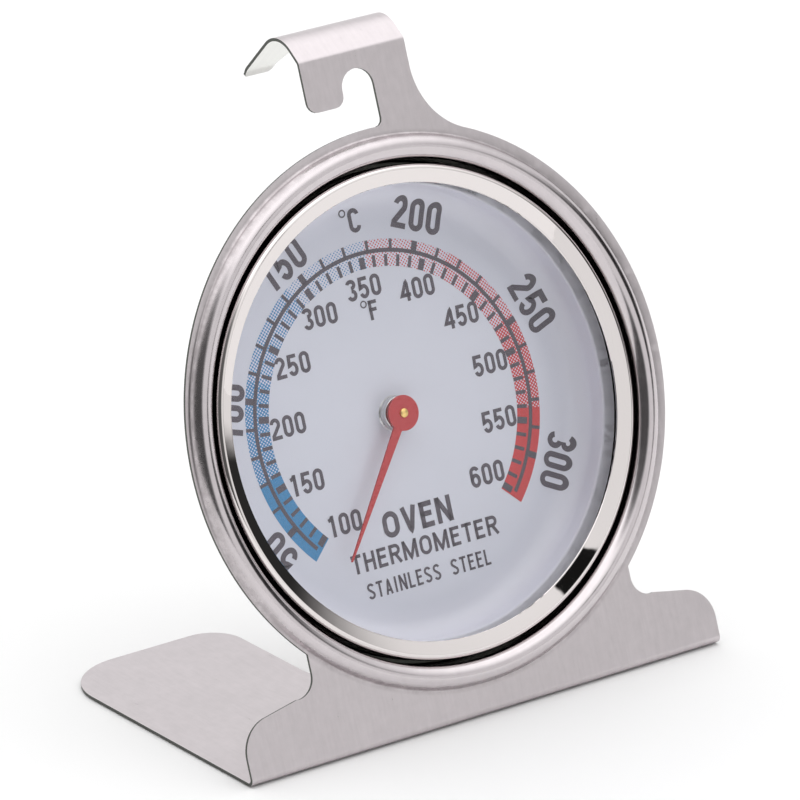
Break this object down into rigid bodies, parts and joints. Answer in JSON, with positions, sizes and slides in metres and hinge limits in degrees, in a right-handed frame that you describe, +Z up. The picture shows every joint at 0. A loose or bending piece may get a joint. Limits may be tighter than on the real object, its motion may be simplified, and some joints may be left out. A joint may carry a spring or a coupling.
{
  "type": "oven thermometer",
  "caption": "Round dial oven thermometer in a folded sheet-steel stand with a foot to stand on and a top hook to hang from; the pointer turns on a bimetal coil.",
  "frame": {"origin": "middle of the foot's front web, on the foot's flat underside", "axes": "+X to the right seen from the front, +Y from the dial to the back, +Z up; the dial leans back from +Z"},
  "size_m": [0.0608, 0.0376, 0.0698],
  "materials": {
    "stainless_satin": "satin brushed stainless sheet",
    "bezel_polished": "mirror polished stainless",
    "glass": "clear flat glass",
    "gasket": "matt heat-proof fibre",
    "dial_paint": "satin pale enamel with printed scales",
    "bright_metal": "bright turned metal",
    "brass": "turned",
    "pointer_red": "satin red enamel",
    "bimetal": "rolled bimetal strip",
    "plated_steel": "plated pressed steel",
    "spring_steel": "bright spring steel"
  },
  "bodies": {
    "body": {"stand": "stainless_satin", "rear_case": "stainless_satin", "bezel": "bezel_polished", "lens": "glass", "lens_gasket": "gasket", "rim_gasket": "gasket", "dial": "dial_paint", "dial_bush": "bright_metal", "thrust_washer": "bright_metal", "bimetal_coil": "bimetal", "coil_rivet": "bright_metal", "movement_bracket": "plated_steel", "bracket_rivets": "bright_metal", "rear_bearing": "brass", "retaining_ring": "spring_steel"},
    "hand": {"spindle": "brass", "spindle_clip": "spring_steel", "pointer": "pointer_red", "pointer_hub": "bright_metal", "coil_collet": "brass"}
  },
  "joints": [
    {"name": "pointer_turn", "type": "hinge", "parent": "body", "child": "hand", "pos_m": [0, 0.00478, 0.03125], "axis": [0, 0.95, -0.3123], "range_deg": [-15, 276], "stiffness_Nm_per_rad": 0.00002, "deforming": ["bimetal_coil"]}
  ]
}
